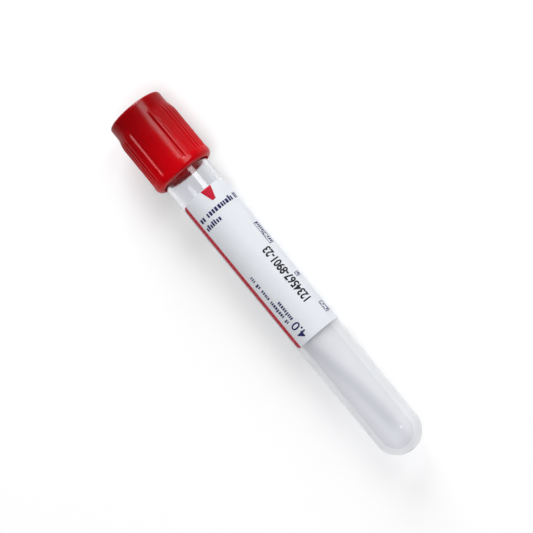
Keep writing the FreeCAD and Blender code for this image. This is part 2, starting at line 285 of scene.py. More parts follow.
def revolved(name, profile, columns, slots=None):
    """A profile of (radius, height) points, from pole to pole, carried round the axis."""
    angle = np.linspace(0, 2 * np.pi, columns, endpoint=False)
    return closed_surface(name, laid_down(angle[None], profile[:, :1], profile[:, 1:]), slots=slots)


def patches(name, corners, cells, wrap):
    """Many four-sided patches in one mesh. Their corners are flat (round, up) places on the label. Wrap bends
    them, and the points between them, round the tube."""
    across, along = np.meshgrid(*[np.linspace(0, 1, count + 1) for count in cells])
    weights = np.stack([(1 - across) * (1 - along), across * (1 - along), across * along,
                        (1 - across) * along])
    flat = np.einsum("kij,nkc->nijc", weights, np.asarray(corners, float))
    return mesh_of(name, quads(numbered(flat.shape[:3])), wrap(flat[..., 0], flat[..., 1]))


def placed(name, data, matrix=None):
    """A new object in the scene, at the origin or placed by a matrix."""
    thing = bpy.data.objects.new(name, data)
    bpy.context.scene.collection.objects.link(thing)
    if matrix is not None:
        thing.matrix_world = matrix
    return thing


def show(mesh, materials, body, replaced=()):
    """Puts a mesh into the scene as a piece that rides on a body."""
    piece = placed(mesh.name, mesh)
    for material in materials:
        mesh.materials.append(material)
    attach(piece, body)
    if replaced:
        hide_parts(*replaced)
    return piece


# -------- materials


def add(tree, kind, sockets=None, **settings):
    """Adds a node. The settings are its own properties, and each socket gets a value or another output."""
    node = tree.nodes.new("ShaderNode" + kind)
    for name, value in settings.items():
        setattr(node, name, value)
    for name, value in (sockets or {}).items():
        if isinstance(value, bpy.types.NodeSocket):
            tree.links.new(value, node.inputs[name])
        else:
            node.inputs[name].default_value = value
    return node


def maths(tree, operation, *values, **settings):
    return add(tree, "Math", dict(enumerate(values)), operation=operation, **settings).outputs[0]


def ranged(tree, value, source, target, kind="LINEAR"):
    """A value carried from one range onto another, and kept inside it."""
    return add(tree, "MapRange", {
        "Value": value, "From Min": source[0], "From Max": source[1], "To Min": target[0],
        "To Max": target[1]}, interpolation_type=kind).outputs[0]


def blend(tree, share, first, second):
    """A colour between two colours, all the first at 0 and all the second at 1."""
    return add(tree, "Mix", {0: share, 6: first, 7: second}, data_type="RGBA").outputs[2]


def dimmed(colour, share):
    return (*(c * share for c in colour[:3]), 1.0)


def emptied(owner):
    """The node tree of a material or world, with nothing in it."""
    owner.use_nodes = True
    owner.node_tree.nodes.clear()
    return owner.node_tree


def new_material(name):
    material = bpy.data.materials.new(name)
    tree = emptied(material)
    return material, tree, add(tree, "TexCoord").outputs["Object"]


def grain(tree, place, scale, stretch=(1.0, 1.0, 1.0), detail=2.0):
    """Noise on the object's own coordinates, with the scale in waves per metre and stretched by axis."""
    mapped = add(tree, "Mapping", {"Vector": place, "Scale": stretch}).outputs[0]
    return add(tree, "TexNoise", {"Vector": mapped, "Scale": scale, "Detail": detail}).outputs["Fac"]


def bumped(tree, height, strength, distance):
    return add(tree, "Bump", {"Height": height, "Strength": strength, "Distance": distance}).outputs[0]


def principled(tree, colour, rough, index, sockets):
    return add(tree, "BsdfPrincipled", {"Base Color": colour, "Roughness": rough, "IOR": index, **sockets})


PET_INDEX = 1.575  # how strongly clear PET bends light


def moulded_pet(colour):
    """Clear PET, injection moulded against a polished core and cavity: glass-like, with long faint waves from
    the flow of the melt, which make the reflections of the lamps swim a little."""
    material, tree, place = new_material("clear_pet_moulded")
    # flow waves are about 4 mm across and 60 mm along the tube
    waves = grain(tree, place, 250.0, (0.06, 1.0, 1.0), 0.0)
    shell = principled(tree, colour, 0.015, PET_INDEX, {
        "Transmission Weight": 1.0, "Normal": bumped(tree, waves, 0.04, 0.02 * MM)})
    lets_light_through(tree, shell, (0.88,) * 3, (0.62,) * 3)
    return material


def coated_pet(name, colour, haze, dullest, dried=None):
    """The same plastic inside, where a sprayed and dried coating dulls it: a bare film near the closure, and
    further down a coat that scatters part of the light, so that the empty tube looks pale grey. If the two
    painted colours are given, its colour carries painted light on one side and a painted shadow along the
    wall."""
    material, tree, place = new_material(name)
    # the sprayed droplets are 0.02 mm and are drawn as clouds of 0.8 mm, so that they show at all
    clouds = grain(tree, place, 1250.0, (0.5, 1.0, 1.0), 3.0)
    # painted light and painted shadow laid into the coating's colour
    if dried:
        colour = painted_shadow_and_light(tree, place, colour, *dried)
    rough = ranged(tree, clouds, (0.3, 0.7), (0.6 * dullest, dullest))
    shell = principled(tree, colour, rough, PET_INDEX, {"Transmission Weight": 1.0 - haze})
    lets_light_through(tree, shell, (0.88,) * 3, (0.70,) * 3)
    return material


def painted_shadow_and_light(tree, place, even, painted_light_colour, painted_shadow_colour):
    """Colour of the coating with painted shadow and painted light: a soft grey band of painted shadow along
    the wall, which fades at both ends and bends aside towards the closure as a parabola, and painted light on
    one side of it."""
    turns_at, aside, bend = 47.2 * MM, 0.6 * MM, 4.76  # where the parabola starts, and its bend per metre
    reach = 2.2 * MM  # from the painted shadow's middle to where it is gone
    split = add(tree, "SeparateXYZ", {"Vector": place})
    along, across = split.outputs["X"], split.outputs["Y"]
    away = maths(tree, "SUBTRACT", along, turns_at)
    bent = maths(tree, "MULTIPLY_ADD", maths(tree, "MULTIPLY", away, away), bend, across)
    off = maths(tree, "SUBTRACT", bent, aside)
    # the lighter side of painted light starts beside the band of painted shadow
    beside = ranged(tree, off, (0.8 * MM, 2.6 * MM), (0.0, 1.0), "SMOOTHSTEP")
    rises = ranged(tree, along, (16 * MM, 42 * MM), (0.35, 1.0))
    falls = ranged(tree, along, (46 * MM, 52 * MM), (1.0, 0.1))
    most = maths(tree, "MINIMUM", rises, falls)
    # share of the painted shadow band, greatest in its middle
    run = ranged(tree, maths(tree, "ABSOLUTE", off), (0.0, reach), (most, 0.0), "SMOOTHSTEP")
    return blend(tree, run, blend(tree, beside, even, painted_light_colour), painted_shadow_colour)


def lets_light_through(tree, shell, face, edge):
    """Lamps shine through the wall, with what is left of their light after one face of it: less where it is
    seen edge on, as the bent light goes elsewhere."""
    facing = add(tree, "LayerWeight", {"Blend": 0.35}).outputs["Facing"]
    clear = add(tree, "BsdfTransparent", {"Color": blend(tree, facing, (*face, 1.0), (*edge, 1.0))})
    shadow = add(tree, "LightPath").outputs["Is Shadow Ray"]
    both = add(tree, "MixShader", {"Fac": shadow, 1: shell.outputs[0], 2: clear.outputs[0]})
    add(tree, "OutputMaterial", {"Surface": both.outputs[0]})


def moulded_polypropylene(name, deep, bright, ends, gloss, dullest):
    """Red polypropylene, moulded: polished steel gives the smooth sides a satin gloss, and the spark-eroded
    part of the cavity leaves the ribbed sides dull. Its red is painted darker towards the thick top and
    brighter towards the
    thin skirt: painted shade at the top and a painted glow of the light that gets into the skirt."""
    material, tree, place = new_material(name)
    along = add(tree, "SeparateXYZ", {"Vector": place}).outputs["X"]
    # painted shade and glow: the red blends from the darker top colour to the brighter skirt colour along the
    # axis
    height = ranged(tree, along, ends[::-1], (0.0, 1.0), "SMOOTHSTEP")
    # colour streaks of the melt, about 3 mm long, which shift the colour by up to 0.08 either way
    streaks = grain(tree, place, 900.0, (0.35, 1.0, 1.0))
    shifted = maths(tree, "MULTIPLY_ADD", streaks, 0.16, height)
    colour = blend(tree, maths(tree, "SUBTRACT", shifted, 0.08, use_clamp=True), deep, bright)
    # the spark-eroded texture is 0.05 mm and is drawn at 0.25 mm
    bump = bumped(tree, grain(tree, place, 4000.0), 0.05, 0.02 * MM)
    rough = ranged(tree, streaks, (0.3, 0.7), (dullest - 0.06, dullest))
    shell = principled(tree, colour, rough, 1.49, {
        "Specular IOR Level": gloss, "Subsurface Weight": 0.4, "Subsurface Radius": (1.0, 0.06, 0.04),
        "Subsurface Scale": 2.0 * MM, "Normal": bump})
    # the wall is thin enough for a deep red glow inside
    lets_light_through(tree, shell, (0.45, 0.005, 0.005), (0.30, 0.005, 0.005))
    return material


def moulded_rubber(colour):
    """Butyl rubber, compression moulded and siliconised: dull with a faint even sheen."""
    material, tree, place = new_material("red_butyl_rubber_moulded")
    mottle = grain(tree, place, 1500.0, detail=3.0)
    mottled = blend(tree, mottle, dimmed(colour, 0.85), colour)
    # the mould's blasted texture, 0.1 mm
    bump = bumped(tree, grain(tree, place, 9000.0), 0.4, 0.03 * MM)
    shell = principled(tree, mottled, 0.62, 1.52, {"Specular IOR Level": 0.12, "Normal": bump})
    add(tree, "OutputMaterial", {"Surface": shell.outputs[0]})
    return material


def coated_paper(colour):
    """Coated label paper, calendered: an even cool white with a dull sheen and the faintest fibre clouds."""
    material, tree, place = new_material("label_paper_coated")
    # fibre flocks of 1.5 mm
    flocks = grain(tree, place, 700.0, detail=3.0)
    clouded = blend(tree, flocks, dimmed(colour, 0.955), colour)
    # the paper's tooth is 0.03 mm and is drawn at 0.15 mm
    bump = bumped(tree, grain(tree, place, 6500.0, detail=3.0), 0.25, 0.01 * MM)
    shell = principled(tree, clouded, 0.5, 1.48, {
        "Specular IOR Level": 0.3, "Subsurface Weight": 0.45, "Subsurface Radius": (1.0, 1.0, 1.0),
        "Subsurface Scale": 0.4 * MM, "Normal": bump})
    # a fifth of the light comes through the sheet, so each face keeps less than half
    lets_light_through(tree, shell, (0.45,) * 3, (0.35,) * 3)
    return material


def printed_ink(name, colour, wear):
    """Ink laid on coated paper by a flexible plate: a flat film, a little thinner in places."""
    material, tree, place = new_material(name)
    # the plate's uneven cover, 0.1 mm, drawn at 0.3 mm
    cover = grain(tree, place, 3300.0, detail=3.0)
    # where the film is thin, a share of the pale paper shows
    thin = (*(c + (0.8 - c) * wear for c in colour[:3]), 1.0)
    film = blend(tree, ranged(tree, cover, (0.35, 0.65), (0.0, 1.0)), thin, colour)
    shell = principled(tree, film, 0.42, 1.48, {"Specular IOR Level": 0.15})
    add(tree, "OutputMaterial", {"Surface": shell.outputs[0]})
    return material


# -------- shapes of the pieces


ROW_STEP = 1.2 * MM  # longest step between two rows of points along the tube
OPENING_ROUND = 0.5 * MM  # radius of the edge round the opening in the shield's top


def tube_radius(tube, height):
    """Outer radius of the tube's side wall: it widens evenly from the foot to the rim."""
    return tube.foot_radius + (tube.rim_radius - tube.foot_radius) * (height - tube.foot_radius) / (
        tube.length - tube.foot_radius)


def tube_profile(tube):
    """From the tip over the rim to the tip inside: the gate's mark with its nub, the round bottom, the
    mould's parting groove, the widening wall, the rounded rim, the inner wall and the inner round bottom.
    Gives as well the rows in which the film and the coating start."""
    foot, edge, mark_height = tube.foot_radius, tube.gate_radius, tube.gate_depth
    sweep = np.linspace(math.asin(edge / foot), np.pi / 2, 40)
    bottom = np.stack([foot * np.sin(sweep), foot * (1 - np.cos(sweep))], 1)
    nub_height, nub_radius, nub_foot = 0.045 * MM, 0.22 * MM, 0.32 * MM
    mark = rounded([[0, nub_height], [nub_radius, nub_height], [nub_foot, mark_height],
                    [edge * 0.9, mark_height], bottom[1]], [0.05 * MM] * 3, 5)
    groove = np.array([[0, 0], [-1, 1.1], [-1, 2.0], [0, 3.1]]) * tube.groove_depth + [foot, foot + 0.02 * MM]
    wall_from = foot + 4 * tube.groove_depth
    inner = foot - tube.wall
    inner_centre = tube.bottom_wall + inner
    arc = 9  # points in each round of the rim
    rim = rounded([[tube_radius(tube, wall_from), wall_from], [tube.rim_radius, tube.length],
                   [tube.rim_radius - tube.wall, tube.length],
                   [tube_radius(tube, inner_centre) - tube.wall, inner_centre]], [tube.rim_round] * 2, arc)
    back = np.linspace(np.pi / 2, 0, 40)[1:]
    inner_bottom = np.stack([inner * np.sin(back), inner_centre - inner * np.cos(back)], 1)
    outer_part = stepped(np.vstack([mark[:-1], bottom[1:], groove, rim[:arc + 1]]), ROW_STEP)
    inner_part = stepped(np.vstack([rim[arc + 1:], inner_bottom]), ROW_STEP)
    filmed_from = len(outer_part) + arc
    coated_from = len(outer_part) + int(np.argmax(inner_part[:, 1] < tube.coated_to))
    return np.vstack([outer_part, inner_part]), filmed_from, coated_from


def stopper_profile(stopper, tube):
    """From the plug's dished end over the plug, the head, the neck and the lip to the floor of the needle's
    well."""
    bore = tube_radius(tube, tube.length) - tube.wall - stopper.plug_gap
    bore_low = tube_radius(tube, stopper.plug_end) - tube.wall - stopper.plug_gap
    shelf_top = stopper.head_top + stopper.neck_height
    dish, flare = 2.0 * MM, 0.6 * MM  # depth of the plug's hollow end, and width of the well's flared mouth
    corners = [
        [0, stopper.plug_end + dish], [1.6 * MM, stopper.plug_end + dish - 0.25 * MM],
        [3.0 * MM, stopper.plug_end], [bore_low, stopper.plug_end], [bore, tube.length],
        [stopper.head_radius, tube.length], [stopper.head_radius, stopper.head_top],
        [stopper.neck_radius, stopper.head_top], [stopper.neck_radius, shelf_top],
        [stopper.lip_radius, shelf_top], [stopper.lip_radius, stopper.lip_top],
        [stopper.well_radius + flare, stopper.lip_top], [stopper.well_radius, stopper.lip_top - flare],
        [stopper.well_radius, stopper.well_floor], [0, stopper.well_floor]]
    radii = np.array([2.0, 0.2, 0.4, 0.05, 0.3, 0.3, 0.1, 0.05, 0.1, 0.45, 0.15, 0.15, 0.3]) * MM
    return stepped(rounded(corners, radii), 0.8 * MM)


def shield_angles(shield):
    """The shield's columns: packed at the ribs' valleys and at the lobes' long edges, wide on smooth sides.
    The ribs are as many as the lobe has room for, with a rib's width or more left bare at each edge."""
    edge, pitch = shield.smooth_half_angle, shield.rib_pitch
    ribs = int(round((np.pi - 2 * edge) / pitch)) - 2
    first_rib = (np.pi - ribs * pitch) / 2
    smooth = np.linspace(-edge, edge, 22)
    past_edge = edge + np.radians([0.02, 0.25, 0.55, 0.9, 1.3, 1.75, 2.2, 2.65, 3.3, 4.6, 6.0, 7.6])
    in_rib = np.array([0.0, 0.05, 0.13, 0.24, 0.37, 0.5, 0.63, 0.76, 0.87, 0.95])
    ribbed = first_rib + (in_rib + np.arange(ribs)[:, None]).ravel() * pitch
    half = np.concatenate([past_edge, ribbed, [np.pi - first_rib], np.pi - past_edge[::-1]])
    return np.concatenate([smooth, half, smooth + np.pi, half + np.pi]), ribs, first_rib


def past_smooth(shield, angle):
    """Angle from the edge of the nearer smooth side, less than 0 on the smooth side."""
    turned = np.mod(angle, np.pi)
    return np.minimum(turned, np.pi - turned) - shield.smooth_half_angle


def lobe_radius(shield, angle, ribs, first_rib):
    """Radius of the shield's outside below the ramp. A smooth side dips at its two edges as the square of the
    angle. From there the lobe's long edge goes up in a straight slope, which rounds over at the top as a
    parabola. Each rib is one wave of a cosine."""
    past = past_smooth(shield, angle)
    dip = shield.dip * (np.minimum(past, 0) / shield.smooth_half_angle + 1) ** 2
    reach = np.clip(past * shield.valley_radius / shield.lobe_round, 0, 1)
    bend = 0.6  # share of the edge's width where the slope starts to round over
    slope = 2 / (1 + bend)
    climb = np.where(reach < bend, slope * reach, 1 - slope / (2 * (1 - bend)) * (1 - reach) ** 2)
    base = shield.band_radius - dip + (shield.valley_radius - shield.band_radius + shield.dip) * climb
    place = (np.mod(angle, np.pi) - first_rib) / shield.rib_pitch
    hump = 0.5 - 0.5 * np.cos(2 * np.pi * place)
    return base + np.where((place > 0) & (place < ribs), shield.rib_depth * hump, 0)


def collar_radius(shield, angle):
    """Radius of the oval collar: flatter arcs across the smooth sides, tighter arcs across the lobes, tangent
    where they meet."""
    rise = shield.collar_rise
    tight = shield.collar_smooth_radius - rise
    shift = shield.collar_lobe_radius - tight
    flat_shift = (shift ** 2 - rise ** 2) / (2 * rise)
    flat = shield.collar_smooth_radius + flat_shift
    c, s = np.abs(np.cos(angle)), np.abs(np.sin(angle))
    side = -flat_shift * c + np.sqrt(flat ** 2 - (flat_shift * s) ** 2)
    end = shift * s + np.sqrt(tight ** 2 - (shift * c) ** 2)
    joint = np.arctan2(shift, flat_shift)
    meets = np.arctan2(shift + tight * np.sin(joint), tight * np.cos(joint))
    return np.where(np.arctan2(s, c) < meets, side, end)


def rows_down(count):
    """Shares from 0 to 1 as a column, without the 0, which the row above already is."""
    return np.linspace(0, 1, count + 1)[1:, None]


def eased(share):
    """The same share, but level at both ends."""
    return share ** 2 * (3 - 2 * share)


def shield_outside(shield, start, angle, ribs, first_rib):
    """The outside's rows from the opening down, as pairs of radius and height: flat top, round edge, band,
    S-shaped ramp, lobes, the collar's rounded shoulder, collar, and its round lower edge, which ends at the
    start radius. The smooth sides flare most of the way to the collar before it starts."""
    band = np.full_like(angle, shield.band_radius)
    lobes, collar = lobe_radius(shield, angle, ribs, first_rib), collar_radius(shield, angle)
    flat_from, flat_to = shield.opening_radius + OPENING_ROUND, shield.band_radius - shield.top_round
    quarter = np.linspace(0, np.pi / 2, 9)[:, None]
    edge_height = shield.top - shield.top_round * (1 - np.cos(quarter))
    flare = 0.85 * (shield.collar_smooth_radius - shield.band_radius) * (past_smooth(shield, angle) < 0)
    flared = lobes + flare * rows_down(17)
    shoulder = rows_down(10)
    collar_from = shield.collar_top - shield.collar_shoulder
    # the lower edge is an ellipse, less high where the collar is less wide
    depth = shield.collar_round * ((collar - start) / (shield.collar_lobe_radius - start)) ** 2
    lower = rows_down(10) * np.pi / 2
    return [
        (np.linspace(flat_from, flat_to, 5)[:-1, None], shield.top),
        (flat_to + shield.top_round * np.sin(quarter), edge_height),
        (band, np.linspace(shield.top - shield.top_round, shield.ramp_top, 6)[1:, None]),
        (band + (lobes - band) * eased(rows_down(18)),
         shield.ramp_top + (shield.ramp_foot - shield.ramp_top) * rows_down(18)),
        (flared, shield.ramp_foot + (shield.collar_top - shield.ramp_foot) * rows_down(17)),
        (flared[-1:] + (collar - flared[-1:]) * eased(shoulder),
         shield.collar_top - shield.collar_shoulder * shoulder),
        (collar, collar_from + (shield.skirt_end + depth - collar_from) * rows_down(3)),
        (collar - (collar - start) * (1 - np.cos(lower)), shield.skirt_end + depth * (1 - np.sin(lower)))]


def shield_rows(shield, stopper, angle, ribs, first_rib):
    """The shield's ring section, row by row, as radius and height at every angle: the outside from the
    opening down, and then the inside back up, which is skirt, shelf, seat and opening."""
    skirt, end, opening = shield.skirt_radius, shield.skirt_end, shield.opening_radius
    mouth, start = skirt + shield.lead_in, skirt + shield.lead_in + 0.10 * MM
    hole, seat = stopper.neck_radius + 0.05 * MM, stopper.lip_radius + 0.20 * MM
    shelf, shelf_top, seat_top = stopper.head_top, stopper.head_top + stopper.neck_height, stopper.lip_top
    corners = [
        [start - 0.02 * MM, end], [mouth, end], [skirt, end + 1.0 * MM], [skirt, shelf], [hole, shelf],
        [hole, shelf_top], [seat, shelf_top], [seat, seat_top], [opening, seat_top], [opening, shield.top],
        [opening + OPENING_ROUND + 0.1 * MM, shield.top]]
    radii = [*np.array([0.03, 1.0, 0.25, 0.12, 0.12, 0.08, 0.08, 0.08]) * MM, OPENING_ROUND]
    inside = stepped(rounded(corners, radii), ROW_STEP)[:-1]
    rows = shield_outside(shield, start, angle, ribs, first_rib) + [(inside[:, :1], inside[:, 1:])]
    rows = [np.broadcast_arrays(radius, height, angle[None])[:2] for radius, height in rows]
    return [np.vstack(part) for part in zip(*rows)]


# -------- operators


class LABTUBE_OT_tube(bpy.types.Operator):
    """Build the clear tube with its round bottom"""

    bl_idname = "labtube.tube"
    bl_label = "Clear Tube"

    def execute(self, context):
        tube = context.scene.labtube_tube
        profile, filmed_from, coated_from = tube_profile(tube)
        slots = np.searchsorted([filmed_from, coated_from], np.arange(len(profile) - 1), side="right")
        mesh = revolved("clear_tube", profile, 224, slots)
        # the coated inner wall's colour carries painted light and painted shadow
        materials = [moulded_pet(tube.plastic), coated_pet("clear_pet_filmed", tube.coating, 0.0, 0.16),
                     coated_pet("clear_pet_coated", tube.coating, tube.haze, 0.14, (tube.painted_light_colour, tube.painted_shadow_colour))]
        show(mesh, materials, "tube_body", ["tube"])
        return {"FINISHED"}


class LABTUBE_OT_stopper(bpy.types.Operator):
    """Build the rubber stopper"""

    bl_idname = "labtube.stopper"
    bl_label = "Rubber Stopper"

    def execute(self, context):
        stopper, tube = context.scene.labtube_stopper, context.scene.labtube_tube
        mesh = revolved("stopper", stopper_profile(stopper, tube), 144)
        show(mesh, [moulded_rubber(stopper.rubber)], "closure", ["rubber_stopper"])
        return {"FINISHED"}


class LABTUBE_OT_shield(bpy.types.Operator):
    """Build the ribbed shield over the stopper"""

    bl_idname = "labtube.shield"
    bl_label = "Safety Shield"

    def execute(self, context):
        shield, stopper = context.scene.labtube_shield, context.scene.labtube_stopper
        angle, ribs, first_rib = shield_angles(shield)
        radius, height = shield_rows(shield, stopper, angle, ribs, first_rib)
        ribbed = np.abs(np.sin(angle)) > np.sin(first_rib)
        mesh = closed_surface("shield", laid_down(angle[None], radius, height), ring=True,
                              slots=ribbed & np.roll(ribbed, -1))
        # the painted shade at the top and the painted glow of the skirt, and the heights between which the
        # one turns into the other
        ends = [float((TIP + CAPWARD * h)[0]) for h in (shield.skirt_end, shield.top)]
        painted_shade_reds = shield.painted_shade_top_red, shield.painted_glow_skirt_red, ends
        finishes = [moulded_polypropylene("red_polypropylene_smooth", *painted_shade_reds, 0.40, 0.27),
                    moulded_polypropylene("red_polypropylene_ribbed", *painted_shade_reds, 0.10, 0.36)]
        piece = show(mesh, finishes, "closure", ["safety_shield"])
        # no light bounces off it, which keeps the white floor clean of red, but it does cast its shadow
        piece.visible_diffuse = False
        return {"FINISHED"}


def label_inset(label, height):
    """How far the label's side edges draw in at a height, measured along the paper: a quarter circle at each
    corner, nothing in between."""
    left = np.clip(label.corner - np.minimum(height - label.low, label.high - height), 0, label.corner)
    return label.corner - np.sqrt(label.corner ** 2 - left ** 2)


def label_heights(label, count):
    """Heights of the label's rows, packed where the corners turn."""
    sweep = np.linspace(0, np.pi / 2, 10)[:-1]
    turn_in = label.corner * (1 - np.cos(sweep))
    between = np.linspace(label.low + label.corner, label.high - label.corner, count)
    return np.concatenate([label.low + turn_in, between, label.high - turn_in[::-1]])


def on_label(label, tube, angle, height, lift):
    """A place on the label, in the frame. The label is out of square, so its heights shift with the side."""
    radius = tube_radius(tube, height) + lift
    return laid_down(angle, radius, height + radius * np.sin(angle) * math.tan(label.skew))


class LABTUBE_OT_label(bpy.types.Operator):
    """Build the paper label"""

    bl_idname = "labtube.label"
    bl_label = "Label"

    def execute(self, context):
        label, tube = context.scene.labtube_label, context.scene.labtube_tube
        height = label_heights(label, 48)[:, None]
        inset = label_inset(label, height) / tube_radius(tube, height)
        share = np.linspace(0, 1, 121)[None]
        angle = label.start + inset + (label.end - label.start - 2 * inset) * share
        points = on_label(label, tube, angle, height, label.glue + label.paper)
        mesh = mesh_of("paper_label", quads(numbered(angle.shape)), points)
        piece = show(mesh, [coated_paper(label.white)], "tube_body", ["label"])
        thicken(piece, label.paper)
        return {"FINISHED"}


def thicken(piece, thickness):
    """Gives a sheet its thickness, inwards."""
    solid = piece.modifiers.new("thickness", "SOLIDIFY")
    solid.thickness, solid.offset, solid.use_even_offset = thickness, -1.0, False


class LABTUBE_OT_print(bpy.types.Operator):
    """Lay the print on the label: red line and arrow, navy bars and frames, plain digits"""

    bl_idname = "labtube.print"
    bl_label = "Print"

    def execute(self, context):
        scene = context.scene
        label, tube, ink = scene.labtube_label, scene.labtube_tube, scene.labtube_print
        lift = label.glue + label.paper + ink.proud

        def wrap(round_, up):
            return on_label(label, tube, round_ / tube_radius(tube, up), up, lift)

        around = float(tube_radius(tube, 0.5 * (label.low + label.high)))
        red_ink = printed_ink("red_ink_printed", ink.red, 0.015)
        line = patches("red_line", red_line(label, around), (4, 1), wrap)
        arrow = patches("red_arrow", red_arrow(around), (10, 10), wrap)
        navy = patches("navy_print", navy_shapes(around), (3, 1), wrap)
        black = digits("black_print", ink.digits, (44.9 * MM, around * math.radians(42)),
                       (16.6 * MM, 2.75 * MM), 0.030, wrap)
        number = digits("navy_number", ink.number, (38.4 * MM, around * math.radians(-19)),
                        (4.2 * MM, 2.6 * MM), 0.012, wrap)
        for mesh, material in (
                (line, red_ink), (arrow, red_ink),
                (navy, printed_ink("navy_ink_printed", ink.navy, 0.03)),
                (black, printed_ink("black_ink_printed", ink.black, 0.03)),
                (number, printed_ink("navy_number_ink_printed", ink.navy, 0.03))):
            thicken(show(mesh, [material], "tube_body"), ink.film)
        return {"FINISHED"}


def red_line(label, around):
    """The line along the label's edge, as short lengths one over the other. Its outer side follows the
    label's edge and rounded corners, and its inner side is straight."""
    margin, width = 0.45 * MM, 1.65 * MM
    height = label_heights(label, 40)[1:-1]
    outer = around * label.start + margin + label_inset(label, height)
    inner = np.full_like(outer, around * label.start + margin + width)
    outer, inner = (np.stack([side, height], 1) for side in (outer, inner))
    return np.stack([outer[:-1], inner[:-1], inner[1:], outer[1:]], 1)


def red_arrow(around):
    """The blunt arrow that points away from the closure."""
    middle, point, base = around * math.radians(21.5), 78.9 * MM, 82.4 * MM
    corners = (-0.5 * MM, point), (0.5 * MM, point), (1.6 * MM, base), (-1.6 * MM, base)
    return [[[middle + aside, up] for aside, up in corners]]


def bars(start, length, height, width, gap, words, rng, along_axis=False):
    """A row of upright bars in groups like words, each bar with its own width and height. After the last
    word the bars go on without a break."""
    shapes, place, word = [], 0.0, iter(words)
    left = next(word, math.inf)
    while place < length:
        wide = width * rng.uniform(0.7, 1.3)
        tall = height * (1.0 if rng.random() < 0.3 else 0.72)
        box = [[place, 0], [place + wide, 0], [place + wide, tall], [place, tall]]
        if along_axis:
            box = [[-v, u] for u, v in box][::-1]
        shapes.append([[start[0] + u, start[1] + v] for u, v in box])
        place += wide + gap * rng.uniform(0.7, 1.3)
        left -= 1
        if left == 0:
            place += 2.6 * gap
            left = next(word, math.inf)
    return shapes


def outline(low, high, line):
    """Four bars that frame a box."""
    (a, b), (c, d) = low, high
    boxes = (a, b, c, b + line), (a, d - line, c, d), (a, b, a + line, d), (c - line, b, c, d)
    return [[[p, q], [r, q], [r, s], [p, s]] for p, q, r, s in boxes]


def navy_shapes(around):
    """Rows of bars and small frames where such a label has its small print, laid out in millimetres."""
    rng = np.random.default_rng(7)

    def at(degrees):
        return around / MM * math.radians(degrees)

    shapes = bars((at(-38.5), 76.15), at(120), 1.65, 0.66, 0.28, (2, 10, 3), rng)
    shapes += bars((at(-38.6), 73.75), at(43), 1.40, 0.50, 0.24, (), rng)
    shapes += bars((at(-25), 43.6), 14.8, 1.1, 0.42, 0.22, (2, 8, 5, 2, 3), rng, True)
    shapes += bars((at(-11.2), 43.6), 5.4, 1.1, 0.42, 0.22, (), rng, True)
    for low, high in ((61.7, 65.0), (65.2, 68.3), (51.1, 52.3), (39.7, 42.8)):
        shapes += outline((at(61), low), (at(80), high), 0.20)
        shapes += bars((at(77), low + 0.35), high - low - 0.8, 1.5, 0.36, 0.22, (), rng, True)
    return np.array(shapes) * MM


def digits(name, text, start, room, weight, wrap):
    """Plain digits, made flat first, cut across every 0.2 mm and then bent round the tube. The row runs
    from the tip towards the closure, with its top towards the red line."""
    curve = bpy.data.curves.new(name, "FONT")
    curve.body, curve.resolution_u, curve.offset = text, 6, weight
    flat = placed(name + "_flat", curve)
    bpy.context.view_layer.update()
    mesh = bpy.data.meshes.new_from_object(flat.evaluated_get(bpy.context.evaluated_depsgraph_get()))
    bpy.data.objects.remove(flat)
    mesh.name = name
    work = bmesh.new()
    work.from_mesh(mesh)
    bmesh.ops.remove_doubles(work, verts=work.verts, dist=1e-5)
    place = np.array([v.co for v in work.verts])[:, :2]
    low, high = place.min(0), place.max(0)
    for cut in np.linspace(low[1], high[1], int(room[1] / (0.2 * MM)) + 2)[1:-1]:
        bmesh.ops.bisect_plane(work, geom=work.verts[:] + work.edges[:] + work.faces[:], plane_co=(0, cut, 0),
                               plane_no=(0, 1, 0))
    along, across = ((np.array([v.co for v in work.verts])[:, :2] - low) / (high - low)).T
    work.to_mesh(mesh)
    work.free()
    bent = wrap(start[1] + (0.5 - across) * room[1], start[0] + along * room[0])
    mesh.vertices.foreach_set("co", bent.ravel())
    mesh.polygons.foreach_set("use_smooth", np.ones(len(mesh.polygons), bool))
    mesh.update()
    return mesh


class LABTUBE_OT_stage(bpy.types.Operator):
    """Set up the floor and backdrop, the lamps, the room's light and the camera"""

    bl_idname = "labtube.stage"
    bl_label = "Stage"

    def execute(self, context):
        stage = context.scene.labtube_stage
        make_backdrop(stage)
        softbox("key_softbox", (-0.81, 0.38, 0.45), 1.6, (0.85, 0.85), stage.key, (0.45, 0.80, 0.0))
        softbox("side_softbox", (-0.22, 0.64, 0.74), 1.6, (0.45, 0.70), stage.side)
        sheet = softbox("overhead_sheet", (0.20, -0.06, 0.98), 2.0, (1.0, 1.0), stage.fill)
        sheet.visible_glossy = sheet.visible_transmission = False
        make_room(context, stage)
        make_camera(stage)
        context.scene.view_settings.view_transform = "Standard"
        return {"FINISHED"}


def make_room(context, stage):
    """The room gives an even soft light and is plain white behind the floor, also where that is seen through
    the clear wall. It isn't mirrored in glossy surfaces."""
    world = bpy.data.worlds.new("room")
    tree = emptied(world)
    path = add(tree, "LightPath").outputs
    rise = add(tree, "SeparateXYZ", {"Vector": add(tree, "TexCoord").outputs["Generated"]}).outputs["Z"]
    behind = maths(tree, "MULTIPLY", path["Is Transmission Ray"], ranged(tree, rise, (0.0, 0.3), (1.0, 0.0)))
    seen = maths(tree, "MAXIMUM", path["Is Camera Ray"], behind)
    strength = ranged(tree, seen, (0.0, 1.0), (stage.sky, 1.0))
    light = add(tree, "Background", {"Color": linear("#FFFFFF"), "Strength": strength})
    add(tree, "OutputWorld", {"Surface": light.outputs[0]})
    context.scene.world = world
    world.cycles_visibility.glossy = False


